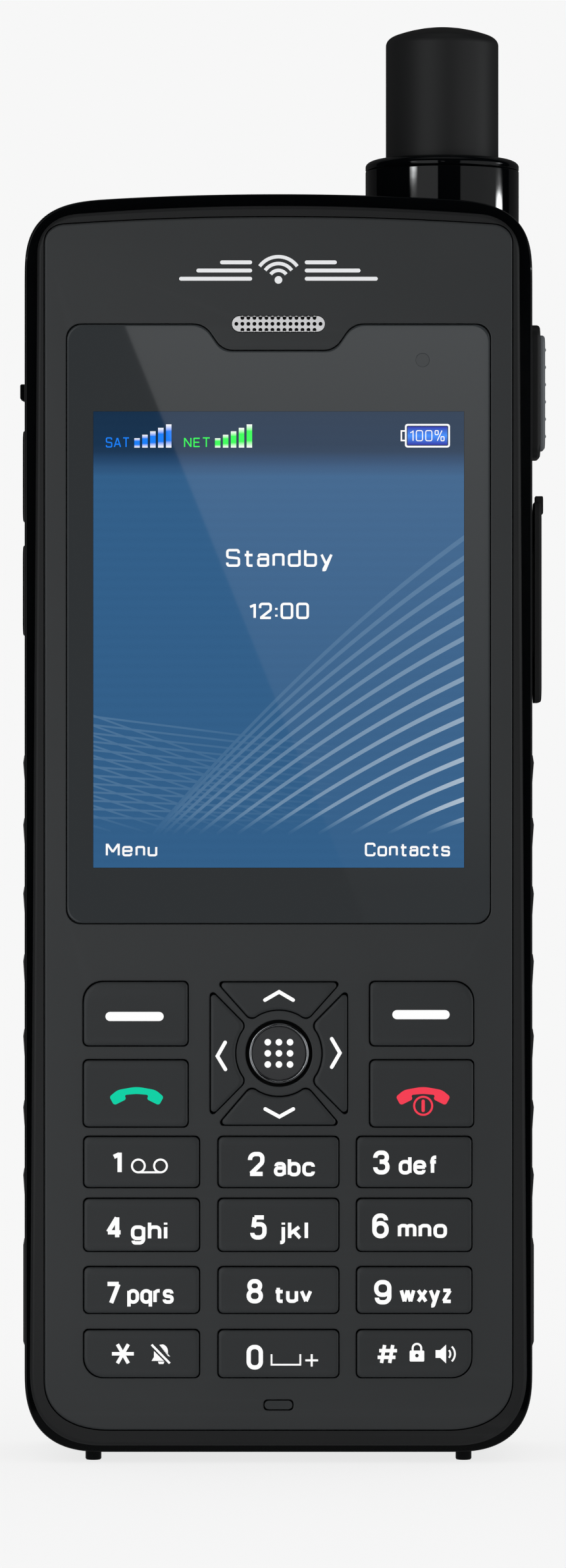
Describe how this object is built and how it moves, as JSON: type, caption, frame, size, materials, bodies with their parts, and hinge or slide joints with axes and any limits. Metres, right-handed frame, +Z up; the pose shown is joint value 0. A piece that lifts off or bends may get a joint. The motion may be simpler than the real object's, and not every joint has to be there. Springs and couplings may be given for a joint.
{
  "type": "satellite phone",
  "caption": "Rugged candybar satellite handset with keypad, colour display, sliding top antenna, side keys, port flap and lift-off battery door.",
  "frame": {"origin": "middle of the flat bottom face of the gloss band", "axes": "+Z up the handset to the antenna, -Y out of the face towards the user, +X to the right of the face"},
  "size_m": [0.0584, 0.027, 0.1596],
  "materials": {
    "soft_touch": "soft-touch moulded plastic, dark grey, fine grain",
    "satin_frame": "satin moulded plastic, near black",
    "gloss_shell": "piano-black gloss plastic",
    "rear_shell": "rugged textured plastic, near black",
    "key_caps": "moulded key caps, dark grey, light legends",
    "alert_key": "mid-grey moulded key",
    "rubber_parts": "black moulded rubber",
    "lens_glass": "clear hard lens with a dark printed border",
    "display": "lit colour display, steel blue",
    "grille_metal": "silvery perforated trim",
    "chrome_trim": "bright chrome ring",
    "mast_skin": "satin black radome",
    "steel": "plain steel, cans, screws and sockets",
    "inner_moulding": "black inner mouldings",
    "circuit_board": "green circuit board with solder mask",
    "battery_skin": "battery case, dark grey",
    "contacts": "plated contact block"
  },
  "bodies": {
    "handset": {"face_panel": "soft_touch", "front_frame": "satin_frame", "display_lens": "lens_glass", "lcd_module": "display", "earpiece_grille": "grille_metal", "earpiece_speaker": "inner_moulding", "microphone": "steel", "keypad_mat": "rubber_parts", "dome_sheet": "steel", "side_band": "gloss_shell", "rear_housing": "rear_shell", "housing_gasket": "rubber_parts", "sos_bezel": "satin_frame", "usb_socket": "steel", "headset_jack": "inner_moulding", "base_peg_left": "gloss_shell", "base_peg_right": "gloss_shell", "antenna_collar": "gloss_shell", "collar_cap": "gloss_shell", "main_board": "circuit_board", "shield_can": "steel", "loudspeaker": "inner_moulding", "vibration_motor": "steel", "battery_pack": "battery_skin", "battery_contacts": "contacts", "sim_socket": "steel", "case_screw_1": "steel", "case_screw_2": "steel", "case_screw_3": "steel", "case_screw_4": "steel"},
    "key_1": {"key_1": "key_caps"},
    "key_2": {"key_2": "key_caps"},
    "key_3": {"key_3": "key_caps"},
    "key_4": {"key_4": "key_caps"},
    "key_5": {"key_5": "key_caps"},
    "key_6": {"key_6": "key_caps"},
    "key_7": {"key_7": "key_caps"},
    "key_8": {"key_8": "key_caps"},
    "key_9": {"key_9": "key_caps"},
    "key_star": {"key_star": "key_caps"},
    "key_0": {"key_0": "key_caps"},
    "key_hash": {"key_hash": "key_caps"},
    "soft_key_left": {"soft_key_left": "key_caps"},
    "soft_key_right": {"soft_key_right": "key_caps"},
    "call_key": {"call_key": "key_caps"},
    "end_key": {"end_key": "key_caps"},
    "nav_up": {"nav_up": "key_caps"},
    "nav_left": {"nav_left": "key_caps"},
    "nav_down": {"nav_down": "key_caps"},
    "nav_right": {"nav_right": "key_caps"},
    "sos_key": {"sos_key": "alert_key"},
    "volume_up_key": {"volume_up_key": "rubber_parts"},
    "volume_down_key": {"volume_down_key": "rubber_parts"},
    "port_flap": {"port_flap": "rubber_parts"},
    "battery_door": {"battery_door": "rear_shell"},
    "battery_door_latch": {"battery_door_latch": "steel"},
    "nav_centre": {"nav_centre": "key_caps", "nav_ring": "chrome_trim"},
    "antenna": {"antenna_mast": "mast_skin", "antenna_core": "inner_moulding"}
  },
  "joints": [
    {"name": "key_1_press", "type": "slide", "parent": "handset", "child": "key_1", "axis": [0, 1, 0], "range_m": [0, 0.00035], "stiffness_N_per_m": 2000},
    {"name": "key_2_press", "type": "slide", "parent": "handset", "child": "key_2", "axis": [0, 1, 0], "range_m": [0, 0.00035], "stiffness_N_per_m": 2000},
    {"name": "key_3_press", "type": "slide", "parent": "handset", "child": "key_3", "axis": [0, 1, 0], "range_m": [0, 0.00035], "stiffness_N_per_m": 2000},
    {"name": "key_4_press", "type": "slide", "parent": "handset", "child": "key_4", "axis": [0, 1, 0], "range_m": [0, 0.00035], "stiffness_N_per_m": 2000},
    {"name": "key_5_press", "type": "slide", "parent": "handset", "child": "key_5", "axis": [0, 1, 0], "range_m": [0, 0.00035], "stiffness_N_per_m": 2000},
    {"name": "key_6_press", "type": "slide", "parent": "handset", "child": "key_6", "axis": [0, 1, 0], "range_m": [0, 0.00035], "stiffness_N_per_m": 2000},
    {"name": "key_7_press", "type": "slide", "parent": "handset", "child": "key_7", "axis": [0, 1, 0], "range_m": [0, 0.00035], "stiffness_N_per_m": 2000},
    {"name": "key_8_press", "type": "slide", "parent": "handset", "child": "key_8", "axis": [0, 1, 0], "range_m": [0, 0.00035], "stiffness_N_per_m": 2000},
    {"name": "key_9_press", "type": "slide", "parent": "handset", "child": "key_9", "axis": [0, 1, 0], "range_m": [0, 0.00035], "stiffness_N_per_m": 2000},
    {"name": "key_star_press", "type": "slide", "parent": "handset", "child": "key_star", "axis": [0, 1, 0], "range_m": [0, 0.00035], "stiffness_N_per_m": 2000},
    {"name": "key_0_press", "type": "slide", "parent": "handset", "child": "key_0", "axis": [0, 1, 0], "range_m": [0, 0.00035], "stiffness_N_per_m": 2000},
    {"name": "key_hash_press", "type": "slide", "parent": "handset", "child": "key_hash", "axis": [0, 1, 0], "range_m": [0, 0.00035], "stiffness_N_per_m": 2000},
    {"name": "soft_key_left_press", "type": "slide", "parent": "handset", "child": "soft_key_left", "axis": [0, 1, 0], "range_m": [0, 0.00035], "stiffness_N_per_m": 2000},
    {"name": "soft_key_right_press", "type": "slide", "parent": "handset", "child": "soft_key_right", "axis": [0, 1, 0], "range_m": [0, 0.00035], "stiffness_N_per_m": 2000},
    {"name": "call_key_press", "type": "slide", "parent": "handset", "child": "call_key", "axis": [0, 1, 0], "range_m": [0, 0.00035], "stiffness_N_per_m": 2000},
    {"name": "end_key_press", "type": "slide", "parent": "handset", "child": "end_key", "axis": [0, 1, 0], "range_m": [0, 0.00035], "stiffness_N_per_m": 2000},
    {"name": "nav_up_press", "type": "slide", "parent": "handset", "child": "nav_up", "axis": [0, 1, 0], "range_m": [0, 0.00035], "stiffness_N_per_m": 2000},
    {"name": "nav_left_press", "type": "slide", "parent": "handset", "child": "nav_left", "axis": [0, 1, 0], "range_m": [0, 0.00035], "stiffness_N_per_m": 2000},
    {"name": "nav_down_press", "type": "slide", "parent": "handset", "child": "nav_down", "axis": [0, 1, 0], "range_m": [0, 0.00035], "stiffness_N_per_m": 2000},
    {"name": "nav_right_press", "type": "slide", "parent": "handset", "child": "nav_right", "axis": [0, 1, 0], "range_m": [0, 0.00035], "stiffness_N_per_m": 2000},
    {"name": "nav_centre_press", "type": "slide", "parent": "handset", "child": "nav_centre", "axis": [0, 1, 0], "range_m": [0, 0.00035], "stiffness_N_per_m": 2000},
    {"name": "sos_key_press", "type": "slide", "parent": "handset", "child": "sos_key", "axis": [-1, 0, 0], "range_m": [0, 0.0004], "stiffness_N_per_m": 2000},
    {"name": "volume_up_key_press", "type": "slide", "parent": "handset", "child": "volume_up_key", "axis": [1, 0, 0], "range_m": [0, 0.0003], "stiffness_N_per_m": 2000},
    {"name": "volume_down_key_press", "type": "slide", "parent": "handset", "child": "volume_down_key", "axis": [1, 0, 0], "range_m": [0, 0.0003], "stiffness_N_per_m": 2000},
    {"name": "antenna_extend", "type": "slide", "parent": "handset", "child": "antenna", "axis": [0, 0, 1], "range_m": [0, 0.0375]},
    {"name": "port_flap_open", "type": "hinge", "parent": "handset", "child": "port_flap", "pos_m": [0.0288, -0.0046, 0.0832], "axis": [0, 1, 0], "range_deg": [0, 110]},
    {"name": "battery_door_lift", "type": "slide", "parent": "handset", "child": "battery_door", "axis": [0, 1, 0], "range_m": [0, 0.03]},
    {"name": "door_latch_turn", "type": "hinge", "parent": "battery_door", "child": "battery_door_latch", "pos_m": [0, 0.0124, 0.073], "axis": [0, 1, 0], "range_deg": [0, 90]}
  ]
}
